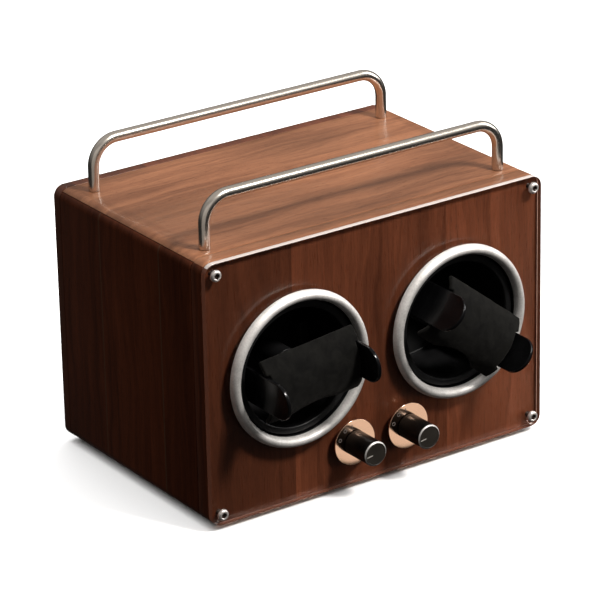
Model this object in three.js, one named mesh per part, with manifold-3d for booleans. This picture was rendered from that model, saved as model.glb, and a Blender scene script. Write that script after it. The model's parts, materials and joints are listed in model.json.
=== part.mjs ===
// Twin watch winder: a walnut box with an acrylic front, two belt-driven drums and two carrying rails.
// Millimetres. X runs to the right, Y to the back and Z up. While the pieces are made, y = 0 is the
// front face of the acrylic panel and z = 0 the underside of the case. The outer group then moves the
// origin to the middle of the footprint, at the bottom of the feet.

import * as THREE from 'three';
import { mergeVertices } from 'three/addons/utils/BufferGeometryUtils.js';
import Module from 'manifold-3d';

// Case
const CASE_WIDTH = 210;
const CASE_DEPTH = 142;
const CASE_HEIGHT = 142;
const CORNER_RADIUS = 6;
const BOARD = 9;
const ACRYLIC = 3;
const FRONT_BOARD = 9;
const BACK_PANEL = 6;
const GAP = 0.3;
const FOOT_RADIUS = 7;
const FOOT_HEIGHT = 3;
const FOOT_INSET = 14;

// Small screws
const SCREW_INSET = 6;
const SCREW_HEAD_RADIUS = 3.1;
const SCREW_HEAD_HEIGHT = 1.9;
const SCREW_SHANK_RADIUS = 1.3;
const SCREW_HOLE_RADIUS = 1.6;
const BACK_SCREW_INSET = 20;

// Handles
const ROD_RADIUS = 3;
const HANDLE_HALF_SPAN = 91.5;
const HANDLE_RISE = 26.6;
const HANDLE_BEND = 14;
const HANDLE_FRONT_Y = 20;
const HANDLE_REAR_Y = 123;
const TAP_RADIUS = 2;
const TAP_DEPTH = 9;

// Pods
const POD_X = 50.3;
const POD_Z = 73.5;
const BEZEL_OUTER = 42;
const BEZEL_INNER = 36.6;
const BEZEL_HEIGHT = 4.2;
const SLEEVE_OUTER = 38.4;
const SLEEVE_INNER = 36.7;
const SLEEVE_DEPTH = 61;
const SLEEVE_WALL = 3;
const POD_HOLE = 39;
const DRUM_OUTER = 35.9;
const DRUM_WALL = 1.9;
const DRUM_LIP = 32;
const DRUM_FRONT = 0.8;
const DRUM_FLOOR = 44;
const DRUM_BACK = 50;
const DRUM_SHAFT = 3.5;
const DRUM_SHAFT_END = 72;

// Belt drive behind each sleeve
const MOTOR_DROP = 37;
const DRUM_PULLEY = 22;
const MOTOR_PULLEY = 7;
const PULLEY_FRONT = 65;
const PULLEY_FLANGE = 1;
const PULLEY_GROOVE = 4;
const FLANGE_RISE = 2.5;
const BELT = 1.2;
const MOTOR_SHAFT = 1.5;
const MOTOR_PLATE_FRONT = 73;
const MOTOR_PLATE = 2;
const MOTOR_RADIUS = 12.5;
const MOTOR_LENGTH = 20;

// Watch holder, whose axis is tilted about Y. s runs along the holder's axis and t across it.
const HOLDER_TILTS = { left: 6, right: -38.5 };
const PLATE_INNER_S = 26.7;
const PLATE = 2;
const PLATE_HALF_WIDTH = 10;
const PLATE_FRONT_Y = -22;
const PLATE_REAR_Y = 43.6;
const PAD_HALF_LENGTH = 28.5;
const PAD_HALF_WIDTH = 18.5;
const PAD_RADIUS = 25;
const PAD_THICKNESS = 3;
const PAD_AXIS_Y = 7;
const STEM_RADIUS = 4.5;
const STEM_END_Y = 24;
const GUIDE_OUTER = 7;
const GUIDE_INNER = 5;
const GUIDE_FRONT_Y = 10;
const HOLDER_BASE_Y = 39.6;
const PLUG_HALF = 7;

// Selector knobs
const KNOB_X = 17;
const KNOB_Z = 23.5;
const KNOB_RADIUS = 6.75;
const KNOB_FRONT_Y = -19.5;
const KNOB_REAR_Y = -1.6;
const SPINDLE_RADIUS = 2.9;
const POINTER_ANGLE = 189;
const DIAL_RADIUS = 12.5;
const DIAL = 0.8;
const SWITCH_HALF = 8;
const SWITCH_DEPTH = 15;

const GUIDE_SIDES = 24;
const ROUND = 36;
const SMALL_ROUND = 12;
const FAR = 400;

const wasm = await Module();
wasm.setup();

const degrees = (angle) => THREE.MathUtils.degToRad(angle);

// --- Solids --------------------------------------------------------------------------------------

function signedVolume(points, triangles) {
  const [a, b, c] = [new THREE.Vector3(), new THREE.Vector3(), new THREE.Vector3()];
  let volume = 0;
  for (let i = 0; i < triangles.length; i += 3) {
    a.fromArray(points, 3 * triangles[i]);
    b.fromArray(points, 3 * triangles[i + 1]);
    c.fromArray(points, 3 * triangles[i + 2]);
    volume += a.dot(b.cross(c)) / 6;
  }
  return volume;
}

// Joins a closed geometry's vertices, drops the empty triangles at a lathe's axis, and turns its faces
// outwards.
function solid(geometry) {
  geometry.deleteAttribute('normal');
  geometry.deleteAttribute('uv');
  const merged = mergeVertices(geometry, 1e-4);
  const points = merged.attributes.position.array;
  const triangles = [];
  for (let i = 0; i < merged.index.count; i += 3) {
    const [a, b, c] = merged.index.array.slice(i, i + 3);
    if (a !== b && b !== c && c !== a) triangles.push(a, b, c);
  }
  if (signedVolume(points, triangles) < 0) triangles.reverse();
  return new wasm.Manifold(new wasm.Mesh({
    numProp: 3,
    vertProperties: new Float32Array(points),
    triVerts: new Uint32Array(triangles),
  }));
}

function box([x0, x1], [y0, y1], [z0, z1]) {
  const geometry = new THREE.BoxGeometry(x1 - x0, y1 - y0, z1 - z0);
  return solid(geometry.translate((x0 + x1) / 2, (y0 + y1) / 2, (z0 + z1) / 2));
}

// A round bar along Y at (x, z).
function barY(radius, [y0, y1], [x, z] = [0, 0], sides = ROUND) {
  const geometry = new THREE.CylinderGeometry(radius, radius, y1 - y0, sides);
  return solid(geometry.translate(x, (y0 + y1) / 2, z));
}

// A round bar along Z at (x, y).
function barZ(radius, [z0, z1], [x, y] = [0, 0], sides = SMALL_ROUND) {
  const geometry = new THREE.CylinderGeometry(radius, radius, z1 - z0, sides);
  return solid(geometry.rotateX(Math.PI / 2).translate(x, y, (z0 + z1) / 2));
}

// A solid of revolution about Y. Each profile point is [radius, y].
function turnedY(profile, sides = ROUND) {
  return solid(new THREE.LatheGeometry(profile.map(([r, y]) => new THREE.Vector2(r, y)), sides));
}

// An outline in X and Z, extruded along Y.
function extrudedY(shape, [y0, y1], curveSegments = 3) {
  const depth = y1 - y0;
  const geometry = new THREE.ExtrudeGeometry(shape, { depth, bevelEnabled: false, curveSegments });
  return solid(geometry.rotateX(Math.PI / 2).translate(0, y1, 0));
}

// --- Pieces and materials ------------------------------------------------------------------------

const material = (color, roughness, metalness = 0, more = {}) =>
  new THREE.MeshStandardMaterial({ color, roughness, metalness, ...more });

const walnut = () => material(0x7a4a2e, 0.4);
const darkWalnut = () => material(0x4b2418, 0.4);
const acrylic = () => material(0xffffff, 0.05, 0, { transparent: true, opacity: 0.25 });
const nickel = () => material(0xd8d4cc, 0.2, 1);
const satinSilver = () => material(0xd0d0d2, 0.35, 1);
const steel = () => material(0xa8a8a8, 0.35, 1);
const blackPlastic = () => material(0x101010, 0.5);
const glossBlack = () => material(0x0a0a0a, 0.15);
const flock = () => material(0x2b2826, 1);
const rubber = () => material(0x181818, 0.9);
const copper = () => material(0xd9a48a, 0.25, 1);
const circuit = () => material(0x1f5a34, 0.6);

function piece(parent, name, body, finish) {
  const { vertProperties, triVerts } = body.getMesh();
  const geometry = new THREE.BufferGeometry();
  geometry.setAttribute('position', new THREE.BufferAttribute(vertProperties, 3));
  geometry.setIndex(new THREE.BufferAttribute(triVerts, 1));
  geometry.computeVertexNormals();
  const mesh = new THREE.Mesh(geometry, finish);
  mesh.name = name;
  parent.add(mesh);
  return mesh;
}

function group(parent, [x, y, z] = [0, 0, 0]) {
  const made = new THREE.Group();
  made.position.set(x, y, z);
  parent.add(made);
  return made;
}

// --- Case ----------------------------------------------------------------------------------------

const BOARDS_FRONT = ACRYLIC + FRONT_BOARD + 2 * GAP;
const BOARDS_BACK = CASE_DEPTH - BACK_PANEL - GAP;
const CASE_MID_Z = CASE_HEIGHT / 2;

// A board's section, mitred at both ends, with half of each rounded corner. The outer face is at v = 0
// and the board lies below it.
function boardSection(length) {
  const trim = GAP / Math.SQRT2;
  const half = length / 2;
  const centre = half - CORNER_RADIUS;
  const shape = new THREE.Shape();
  shape.moveTo(-(half - BOARD - trim), -BOARD);
  shape.lineTo(half - BOARD - trim, -BOARD);
  shape.absarc(centre - trim, -CORNER_RADIUS, CORNER_RADIUS, Math.PI / 4, Math.PI / 2, false);
  shape.absarc(-(centre - trim), -CORNER_RADIUS, CORNER_RADIUS, Math.PI / 2, (3 * Math.PI) / 4, false);
  shape.closePath();
  return shape;
}

function board(length, turn, distance) {
  const section = extrudedY(boardSection(length), [BOARDS_FRONT, BOARDS_BACK]);
  const radians = degrees(turn);
  const shift = [distance * Math.sin(radians), 0, CASE_MID_Z + distance * Math.cos(radians)];
  return section.rotate([0, turn, 0]).translate(shift);
}

// The case's outline with its four rounded corners, as a plate from y0 to y1.
function casePlate([y0, y1]) {
  const [x, z, r] = [CASE_WIDTH / 2, CASE_HEIGHT, CORNER_RADIUS];
  const shape = new THREE.Shape();
  shape.absarc(x - r, r, r, -Math.PI / 2, 0, false);
  shape.absarc(x - r, z - r, r, 0, Math.PI / 2, false);
  shape.absarc(r - x, z - r, r, Math.PI / 2, Math.PI, false);
  shape.absarc(r - x, r, r, Math.PI, 1.5 * Math.PI, false);
  shape.closePath();
  return extrudedY(shape, [y0, y1]);
}

function cornerPoints(insetX, insetZ) {
  const x = CASE_WIDTH / 2 - insetX;
  return [
    [-x, CASE_HEIGHT - insetZ],
    [x, CASE_HEIGHT - insetZ],
    [-x, insetZ],
    [x, insetZ],
  ];
}

const handlePoints = [HANDLE_FRONT_Y, HANDLE_REAR_Y].flatMap((y) => [
  [-HANDLE_HALF_SPAN, y],
  [HANDLE_HALF_SPAN, y],
]);
const frontScrewPoints = cornerPoints(SCREW_INSET, SCREW_INSET);
const backScrewPoints = cornerPoints(BOARD / 2, BACK_SCREW_INSET);
const jackPoint = [70, 22];

function drill(plate, points, radius, span, sides = SMALL_ROUND) {
  return points.reduce((rest, point) => rest.subtract(barY(radius, span, point, sides)), plate);
}

function frontOpenings(plate) {
  const podHoles = drill(plate, [[-POD_X, POD_Z], [POD_X, POD_Z]], POD_HOLE, [-1, 20], ROUND);
  return drill(podHoles, [[-KNOB_X, KNOB_Z], [KNOB_X, KNOB_Z]], 4.2, [-1, 20]);
}

function addBoards(parent) {
  const across = CASE_WIDTH / 2;
  const up = CASE_HEIGHT / 2;
  let top = board(CASE_WIDTH, 0, up);
  for (const point of handlePoints) top = top.subtract(barZ(2.2, [100, FAR], point));
  let left = board(CASE_HEIGHT, -90, across);
  let right = board(CASE_HEIGHT, 90, across);
  const screwSpan = [BOARDS_BACK - 11, FAR];
  left = drill(left, backScrewPoints, SCREW_HOLE_RADIUS, screwSpan);
  right = drill(right, backScrewPoints, SCREW_HOLE_RADIUS, screwSpan);
  piece(parent, 'top_board', top, walnut());
  piece(parent, 'bottom_board', board(CASE_WIDTH, 180, up), darkWalnut());
  piece(parent, 'left_side_board', left, darkWalnut());
  piece(parent, 'right_side_board', right, darkWalnut());
}

function addPanels(parent) {
  const screwReach = 1.5;
  const acrylicPlate = drill(casePlate([0, ACRYLIC]), frontScrewPoints, SCREW_HOLE_RADIUS, [-1, 5]);
  piece(parent, 'acrylic_front_panel', frontOpenings(acrylicPlate), acrylic());

  const front = casePlate([ACRYLIC + GAP, ACRYLIC + GAP + FRONT_BOARD]);
  const tapped = drill(front, frontScrewPoints, SCREW_HOLE_RADIUS, [0, BOARDS_FRONT - screwReach]);
  piece(parent, 'front_board', frontOpenings(tapped), darkWalnut());

  const back = casePlate([CASE_DEPTH - BACK_PANEL, CASE_DEPTH]);
  const bored = drill(back, backScrewPoints, SCREW_HOLE_RADIUS, [0, FAR]);
  piece(parent, 'back_panel', drill(bored, [jackPoint], 5.4, [0, FAR]), darkWalnut());
}

// A domed hex-socket screw pointing along +Y, with the underside of its head at y = 0.
function screw(shankLength, headRadius = SCREW_HEAD_RADIUS, shankRadius = SCREW_SHANK_RADIUS) {
  const profile = [
    [0, shankLength],
    [shankRadius, shankLength],
    [shankRadius, 0],
    [headRadius, 0],
    [headRadius, -0.4 * SCREW_HEAD_HEIGHT],
    [0.7 * headRadius, -SCREW_HEAD_HEIGHT],
    [0, -SCREW_HEAD_HEIGHT],
  ];
  const socket = barY(headRadius * 0.5, [-FAR, 1.2 - SCREW_HEAD_HEIGHT], [0, 0], 6);
  return turnedY(profile, SMALL_ROUND).subtract(socket);
}

function addScrews(parent) {
  frontScrewPoints.forEach(([x, z], i) => {
    const mesh = piece(parent, `front_screw_${i + 1}`, screw(10), nickel());
    mesh.position.set(x, -GAP, z);
  });
  backScrewPoints.forEach(([x, z], i) => {
    const mesh = piece(parent, `back_screw_${i + 1}`, screw(16), steel());
    mesh.position.set(x, CASE_DEPTH + GAP, z);
    mesh.rotation.z = Math.PI;
  });
  handlePoints.forEach(([x, y], i) => {
    const mesh = piece(parent, `handle_screw_${i + 1}`, screw(BOARD + TAP_DEPTH - 0.4, 3.5, 1.7), steel());
    mesh.position.set(x, y, CASE_HEIGHT - BOARD - GAP);
    mesh.rotation.x = Math.PI / 2;
  });
}

// The centreline of a handle: up one leg, round a bend, along the bar and down the other leg.
function handlePath(rise, foot) {
  const [x, r] = [HANDLE_HALF_SPAN, HANDLE_BEND];
  const k = r * (1 - 0.5523);
  const v = (px, pz) => new THREE.Vector3(px, 0, pz);
  const path = new THREE.CurvePath();
  path.add(new THREE.LineCurve3(v(-x, foot), v(-x, rise - r)));
  path.add(new THREE.CubicBezierCurve3(v(-x, rise - r), v(-x, rise - k), v(-x + k, rise), v(-x + r, rise)));
  path.add(new THREE.LineCurve3(v(-x + r, rise), v(x - r, rise)));
  path.add(new THREE.CubicBezierCurve3(v(x - r, rise), v(x - k, rise), v(x, rise - k), v(x, rise - r)));
  path.add(new THREE.LineCurve3(v(x, rise - r), v(x, foot)));
  return path;
}

function handleRod() {
  const section = new THREE.Shape().absarc(0, 0, ROD_RADIUS, 0, 2 * Math.PI);
  const extrudePath = handlePath(HANDLE_RISE, GAP);
  const rod = solid(new THREE.ExtrudeGeometry(section, { steps: 40, curveSegments: 4, extrudePath }));
  const tap = (x) => barZ(TAP_RADIUS, [-1, GAP + TAP_DEPTH], [x, 0]);
  return rod.subtract(tap(-HANDLE_HALF_SPAN)).subtract(tap(HANDLE_HALF_SPAN));
}

function addHandles(parent) {
  for (const [name, y] of [['front_handle', HANDLE_FRONT_Y], ['rear_handle', HANDLE_REAR_Y]]) {
    const mesh = piece(parent, name, handleRod(), nickel());
    mesh.position.set(0, y, CASE_HEIGHT);
  }
}

function addFeet(parent) {
  const x = CASE_WIDTH / 2 - FOOT_INSET;
  const rear = CASE_DEPTH - FOOT_INSET;
  const corners = [[-x, FOOT_INSET], [x, FOOT_INSET], [-x, rear], [x, rear]];
  corners.forEach((point, i) => {
    piece(parent, `foot_${i + 1}`, barZ(FOOT_RADIUS, [-GAP - FOOT_HEIGHT, -GAP], point), rubber());
  });
}

// --- Electrics -----------------------------------------------------------------------------------

function addDcJack(parent) {
  const outside = CASE_DEPTH + GAP;
  const flange = barY(7.5, [outside, outside + 1.6], [0, 0], SMALL_ROUND);
  const barrel = barY(5, [128, outside + 1], [0, 0], SMALL_ROUND);
  const socket = barY(2.9, [131, FAR], [0, 0], SMALL_ROUND);
  const pin = barY(0.9, [130, outside], [0, 0], 12);
  const jack = flange.add(barrel).subtract(socket).add(pin);
  piece(parent, 'dc_jack', jack, blackPlastic()).position.set(jackPoint[0], 0, jackPoint[1]);
}

function addControlBoard(parent) {
  const floor = BOARD + GAP;
  const standoffs = [[-29, 84], [29, 84], [-29, 122], [29, 122]];
  let circuitBoard = box([-33, 33], [80, 126], [floor + 5, floor + 6.6]);
  for (const point of standoffs) {
    circuitBoard = circuitBoard.add(barZ(2.5, [floor, floor + 5.5], point, 8));
  }
  circuitBoard = circuitBoard.add(box([-8, 8], [94, 110], [floor + 6, floor + 8.6]));
  for (const side of [-1, 1]) {
    const socketX = [24 * side - 5, 24 * side + 5];
    const socket = box(socketX, [112, 120], [floor + 6, floor + 13]);
    const capacitor = barZ(4, [floor + 6, floor + 17], [18 * side, 90], 12);
    circuitBoard = circuitBoard.add(socket).add(capacitor);
  }
  piece(parent, 'control_board', circuitBoard, circuit());
}

// --- Pods ----------------------------------------------------------------------------------------

function bezelRing() {
  const middle = (BEZEL_OUTER + BEZEL_INNER) / 2;
  const half = (BEZEL_OUTER - BEZEL_INNER) / 2;
  const profile = [[BEZEL_INNER, -GAP], [BEZEL_OUTER, -GAP]];
  const steps = 6;
  for (let k = 1; k < steps; k += 1) {
    const angle = (k / steps) * Math.PI;
    profile.push([middle + half * Math.cos(angle), -GAP - BEZEL_HEIGHT * Math.sin(angle)]);
  }
  profile.push(profile[0]);
  return turnedY(profile);
}

function podSleeve() {
  const lugHalf = 17;
  const lug = box([-lugHalf, lugHalf], [SLEEVE_DEPTH - SLEEVE_WALL, SLEEVE_DEPTH], [-MOTOR_DROP - 16, -30]);
  return barY(SLEEVE_OUTER, [0, SLEEVE_DEPTH])
    .add(lug)
    .subtract(barY(SLEEVE_INNER, [-1, SLEEVE_DEPTH - SLEEVE_WALL]))
    .subtract(barY(DRUM_SHAFT + 0.5, [0, FAR], [0, 0], SMALL_ROUND));
}

function drumCup(tilt) {
  const pocketHalf = PLUG_HALF + 0.4;
  const pocket = box([-pocketHalf, pocketHalf], [0, DRUM_FLOOR + 4], [-pocketHalf, pocketHalf]);
  return barY(DRUM_OUTER, [DRUM_FRONT, DRUM_BACK])
    .add(barY(DRUM_SHAFT, [DRUM_BACK - 1, DRUM_SHAFT_END], [0, 0], SMALL_ROUND))
    .subtract(barY(DRUM_OUTER - DRUM_WALL, [DRUM_FRONT + 4, DRUM_FLOOR]))
    .subtract(barY(DRUM_LIP, [0, DRUM_FLOOR]))
    .subtract(pocket.rotate([0, -tilt, 0]));
}

// A flanged belt pulley about Y, from PULLEY_FRONT back.
function pulley(radius) {
  const grooveFront = PULLEY_FRONT + PULLEY_FLANGE;
  const grooveBack = grooveFront + PULLEY_GROOVE;
  const sides = radius > 10 ? 2 * SMALL_ROUND : SMALL_ROUND;
  return barY(radius, [PULLEY_FRONT, grooveBack + PULLEY_FLANGE], [0, 0], sides)
    .add(barY(radius + FLANGE_RISE, [PULLEY_FRONT, grooveFront], [0, 0], sides))
    .add(barY(radius + FLANGE_RISE, [grooveBack, grooveBack + PULLEY_FLANGE], [0, 0], sides));
}

// The outline of a belt round both pulleys, offset from their grooves.
function beltOutline(Outline, offset) {
  const [large, small] = [DRUM_PULLEY + offset, MOTOR_PULLEY + offset];
  const lean = Math.asin((DRUM_PULLEY - MOTOR_PULLEY) / MOTOR_DROP);
  const outline = new Outline();
  outline.absarc(0, 0, large, -lean, Math.PI + lean, false);
  outline.absarc(0, -MOTOR_DROP, small, Math.PI + lean, 2 * Math.PI - lean, false);
  outline.closePath();
  return outline;
}

function driveBelt() {
  const slack = 0.4;
  const front = PULLEY_FRONT + PULLEY_FLANGE + slack;
  const span = [front, front + PULLEY_GROOVE - 2 * slack];
  const shape = beltOutline(THREE.Shape, slack + BELT);
  shape.holes.push(beltOutline(THREE.Path, slack));
  return extrudedY(shape, span, 8);
}

function gearmotor() {
  const plateBack = MOTOR_PLATE_FRONT + MOTOR_PLATE;
  const plate = box([-17, 17], [MOTOR_PLATE_FRONT, plateBack], [-14, 12.5]);
  let motor = plate
    .add(barY(MOTOR_RADIUS, [plateBack - 0.5, plateBack + MOTOR_LENGTH], [0, 0], 24))
    .add(barY(9.5, [plateBack + MOTOR_LENGTH - 0.5, plateBack + MOTOR_LENGTH + 10], [0, 0], 16));
  for (const x of [-12.5, 12.5]) {
    motor = motor.add(barY(2.5, [SLEEVE_DEPTH + GAP, MOTOR_PLATE_FRONT + 0.5], [x, -10], 12));
  }
  return motor.subtract(barY(MOTOR_SHAFT + 0.5, [0, MOTOR_PLATE_FRONT + 9], [0, 0], 16));
}

function addDrive(parent, side) {
  const shaftHole = barY(DRUM_SHAFT + 0.4, [0, FAR], [0, 0], SMALL_ROUND);
  piece(parent, `${side}_drum_pulley`, pulley(DRUM_PULLEY).subtract(shaftHole), blackPlastic());
  piece(parent, `${side}_drive_belt`, driveBelt(), rubber());
  const below = group(parent, [0, 0, -MOTOR_DROP]);
  const shaft = barY(MOTOR_SHAFT, [PULLEY_FRONT + 1, MOTOR_PLATE_FRONT + 8], [0, 0], 16);
  piece(below, `${side}_motor_pulley`, pulley(MOTOR_PULLEY).add(shaft), blackPlastic());
  piece(below, `${side}_gearmotor`, gearmotor(), steel());
}

// --- Watch holder, in s (X), Y and t (Z) ---------------------------------------------------------

function holderFrame() {
  const reach = PLATE_INNER_S - GAP;
  const plug = [-PLUG_HALF, PLUG_HALF];
  const upright = [HOLDER_BASE_Y - 11, HOLDER_BASE_Y + 1];
  return box([-reach, reach], [HOLDER_BASE_Y, DRUM_FLOOR - GAP], [-9, 9])
    .add(box([-reach, 5 - reach], upright, [-7, 7]))
    .add(box([reach - 5, reach], upright, [-7, 7]))
    .add(barY(GUIDE_OUTER, [GUIDE_FRONT_Y, HOLDER_BASE_Y + 1], [0, 0], GUIDE_SIDES))
    .add(box(plug, [HOLDER_BASE_Y + 1, DRUM_FLOOR + 3.6], plug))
    .subtract(barY(GUIDE_INNER, [0, HOLDER_BASE_Y - 4], [0, 0], GUIDE_SIDES));
}

// A side plate in the Y-t plane: straight sides and a round front end.
function holderPlate() {
  const shape = new THREE.Shape();
  shape.moveTo(PLATE_REAR_Y, -PLATE_HALF_WIDTH);
  shape.lineTo(PLATE_REAR_Y, PLATE_HALF_WIDTH);
  shape.absarc(PLATE_FRONT_Y, 0, PLATE_HALF_WIDTH, Math.PI / 2, 1.5 * Math.PI, false);
  shape.closePath();
  const options = { depth: PLATE, bevelEnabled: false, curveSegments: 8 };
  const geometry = new THREE.ExtrudeGeometry(shape, options);
  geometry.applyMatrix4(new THREE.Matrix4().set(0, 0, 1, 0, 1, 0, 0, 0, 0, 1, 0, 0, 0, 0, 0, 1));
  return solid(geometry);
}

// The curved pad: an arc across t, straight along s, notched for both plates, with a shallow cut in the
// lower edge, and the stem that slides in the guide.
function saddlePad() {
  const spread = Math.asin(PAD_HALF_WIDTH / PAD_RADIUS);
  const shape = new THREE.Shape();
  const [from, to] = [Math.PI / 2 - spread, Math.PI / 2 + spread];
  shape.absarc(0, 0, PAD_RADIUS, from, to, false);
  shape.absarc(0, 0, PAD_RADIUS - PAD_THICKNESS, to, from, true);
  shape.closePath();
  const geometry = new THREE.ExtrudeGeometry(shape, {
    depth: 2 * PAD_HALF_LENGTH,
    bevelEnabled: false,
    curveSegments: 6,
  });
  geometry.applyMatrix4(new THREE.Matrix4().set(
    0, 0, 1, -PAD_HALF_LENGTH,
    0, -1, 0, PAD_AXIS_Y,
    1, 0, 0, 0,
    0, 0, 0, 1,
  ));
  let pad = solid(geometry);
  const notchHalf = PLATE_HALF_WIDTH + 1.4;
  for (const side of [-1, 1]) {
    const notch = side < 0 ? [-FAR, 0.5 - PLATE_INNER_S] : [PLATE_INNER_S - 0.5, FAR];
    pad = pad.subtract(box(notch, [-50, 50], [-notchHalf, notchHalf]));
  }
  const cutDepth = 4.5;
  const cutHalf = 15;
  const cutRadius = (cutHalf ** 2 + cutDepth ** 2) / (2 * cutDepth);
  pad = pad.subtract(barY(cutRadius, [-50, 50], [0, cutDepth - PAD_HALF_WIDTH - cutRadius]));
  return pad.add(barY(STEM_RADIUS, [PAD_AXIS_Y - PAD_RADIUS + 1.5, STEM_END_Y], [0, 0], GUIDE_SIDES));
}

class Helix extends THREE.Curve {
  constructor(radius, turns, y0, y1) {
    super();
    Object.assign(this, { radius, turns, y0, y1 });
  }

  getPoint(t) {
    const angle = 2 * Math.PI * this.turns * t;
    const y = THREE.MathUtils.lerp(this.y0, this.y1, t);
    return new THREE.Vector3(this.radius * Math.cos(angle), y, this.radius * Math.sin(angle));
  }
}

function saddleSpring() {
  const wire = 0.6;
  const front = PAD_AXIS_Y - PAD_RADIUS + PAD_THICKNESS + GAP + wire + 0.2;
  const extrudePath = new Helix(5.9, 5, front, GUIDE_FRONT_Y - GAP - wire - 0.2);
  const section = new THREE.Shape().absarc(0, 0, wire, 0, 2 * Math.PI);
  return solid(new THREE.ExtrudeGeometry(section, { steps: 50, curveSegments: 2, extrudePath }));
}

function addHolder(parent, side) {
  const holder = group(parent);
  holder.rotation.y = -degrees(HOLDER_TILTS[side]);
  piece(holder, `${side}_holder_frame`, holderFrame(), blackPlastic());
  piece(holder, `${side}_holder_plate_1`, holderPlate(), glossBlack()).position.x = -PLATE_INNER_S - PLATE;
  piece(holder, `${side}_holder_plate_2`, holderPlate(), glossBlack()).position.x = PLATE_INNER_S;
  piece(holder, `${side}_saddle_pad`, saddlePad(), flock());
  piece(holder, `${side}_saddle_spring`, saddleSpring(), steel());
}

function addPod(parent, side, x) {
  const pod = group(parent, [x, 0, POD_Z]);
  piece(pod, `${side}_bezel_ring`, bezelRing(), satinSilver());
  piece(pod, `${side}_pod_sleeve`, podSleeve(), blackPlastic());
  piece(pod, `${side}_drum_cup`, drumCup(HOLDER_TILTS[side]), blackPlastic());
  addDrive(pod, side);
  addHolder(pod, side);
}

// --- Selector knobs ------------------------------------------------------------------------------

function knob() {
  const chamfer = 0.7;
  const profile = [
    [0, KNOB_REAR_Y],
    [KNOB_RADIUS, KNOB_REAR_Y],
    [KNOB_RADIUS, KNOB_FRONT_Y + chamfer],
    [KNOB_RADIUS - chamfer, KNOB_FRONT_Y],
    [0, KNOB_FRONT_Y],
  ];
  const pointerReach = [1.6, KNOB_RADIUS - chamfer - 0.4];
  const pointer = box(pointerReach, [KNOB_FRONT_Y - 1, KNOB_FRONT_Y + 0.4], [-0.35, 0.35]);
  return turnedY(profile, 24)
    .subtract(pointer.rotate([0, -POINTER_ANGLE, 0]))
    .subtract(barY(SPINDLE_RADIUS + GAP, [KNOB_FRONT_Y + 5, 0], [0, 0], SMALL_ROUND));
}

function rotarySwitch() {
  const back = BOARDS_FRONT + SWITCH_DEPTH;
  const side = [-SWITCH_HALF, SWITCH_HALF];
  return box(side, [BOARDS_FRONT, back], side)
    .add(barY(3.8, [GAP, BOARDS_FRONT + 1], [0, 0], SMALL_ROUND))
    .subtract(barY(SPINDLE_RADIUS + 0.3, [-1, back - 4], [0, 0], SMALL_ROUND));
}

function addSelector(parent, side, x) {
  const selector = group(parent, [x, 0, KNOB_Z]);
  const dialHole = barY(4, [-5, 5], [0, 0], SMALL_ROUND);
  const dial = barY(DIAL_RADIUS, [-GAP - DIAL, -GAP]).subtract(dialHole);
  const spindleSpan = [KNOB_FRONT_Y + 5.5, BOARDS_FRONT + SWITCH_DEPTH - 5];
  const spindle = barY(SPINDLE_RADIUS, spindleSpan, [0, 0], SMALL_ROUND);
  piece(selector, `${side}_dial_plate`, dial, copper());
  piece(selector, `${side}_knob`, knob(), glossBlack());
  piece(selector, `${side}_knob_spindle`, spindle, steel());
  piece(selector, `${side}_rotary_switch`, rotarySwitch(), blackPlastic());
}

// --- Assembly ------------------------------------------------------------------------------------

const winder = new THREE.Group();
const front = PLATE_FRONT_Y - PLATE_HALF_WIDTH;
const rear = CASE_DEPTH + GAP + SCREW_HEAD_HEIGHT;
const assembly = group(winder, [0, -(front + rear) / 2, FOOT_HEIGHT + GAP]);
addBoards(assembly);
addPanels(assembly);
addScrews(assembly);
addHandles(assembly);
addFeet(assembly);
addDcJack(assembly);
addControlBoard(assembly);
for (const [side, sign] of [['left', -1], ['right', 1]]) {
  addPod(assembly, side, sign * POD_X);
  addSelector(assembly, side, sign * KNOB_X);
}

export default winder;
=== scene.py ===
"""The looks of a twin watch winder: a walnut case with an acrylic front and two flocked watch holders.

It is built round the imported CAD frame. Shapes are made in millimetres in the case's own axes: X runs to the
right, Y to the back from the acrylic's front face, and Z up from the underside of the case.
"""

import json
import math

import bmesh
import bpy
from mathutils import Matrix, Vector, noise

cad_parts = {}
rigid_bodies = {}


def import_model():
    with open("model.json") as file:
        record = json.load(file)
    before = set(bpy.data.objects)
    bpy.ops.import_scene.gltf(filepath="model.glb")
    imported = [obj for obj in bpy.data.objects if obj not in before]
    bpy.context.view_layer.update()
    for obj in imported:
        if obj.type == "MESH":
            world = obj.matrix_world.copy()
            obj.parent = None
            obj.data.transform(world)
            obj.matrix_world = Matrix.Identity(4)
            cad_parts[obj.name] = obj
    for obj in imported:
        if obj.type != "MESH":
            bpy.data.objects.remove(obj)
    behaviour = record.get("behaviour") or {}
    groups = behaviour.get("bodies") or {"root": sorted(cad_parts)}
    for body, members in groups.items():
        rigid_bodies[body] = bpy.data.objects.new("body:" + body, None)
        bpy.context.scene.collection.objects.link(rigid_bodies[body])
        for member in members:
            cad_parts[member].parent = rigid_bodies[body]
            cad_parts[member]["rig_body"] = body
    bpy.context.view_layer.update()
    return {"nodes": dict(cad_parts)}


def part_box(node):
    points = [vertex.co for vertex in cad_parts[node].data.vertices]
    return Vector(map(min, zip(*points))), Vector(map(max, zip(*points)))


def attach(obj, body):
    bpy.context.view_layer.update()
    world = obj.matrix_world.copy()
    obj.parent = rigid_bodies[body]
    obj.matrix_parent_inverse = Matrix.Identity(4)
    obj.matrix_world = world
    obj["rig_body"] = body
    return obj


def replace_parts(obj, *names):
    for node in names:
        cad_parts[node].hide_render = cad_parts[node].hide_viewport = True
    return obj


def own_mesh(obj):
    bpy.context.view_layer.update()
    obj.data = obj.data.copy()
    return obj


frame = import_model()
scene = bpy.context.scene

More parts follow.
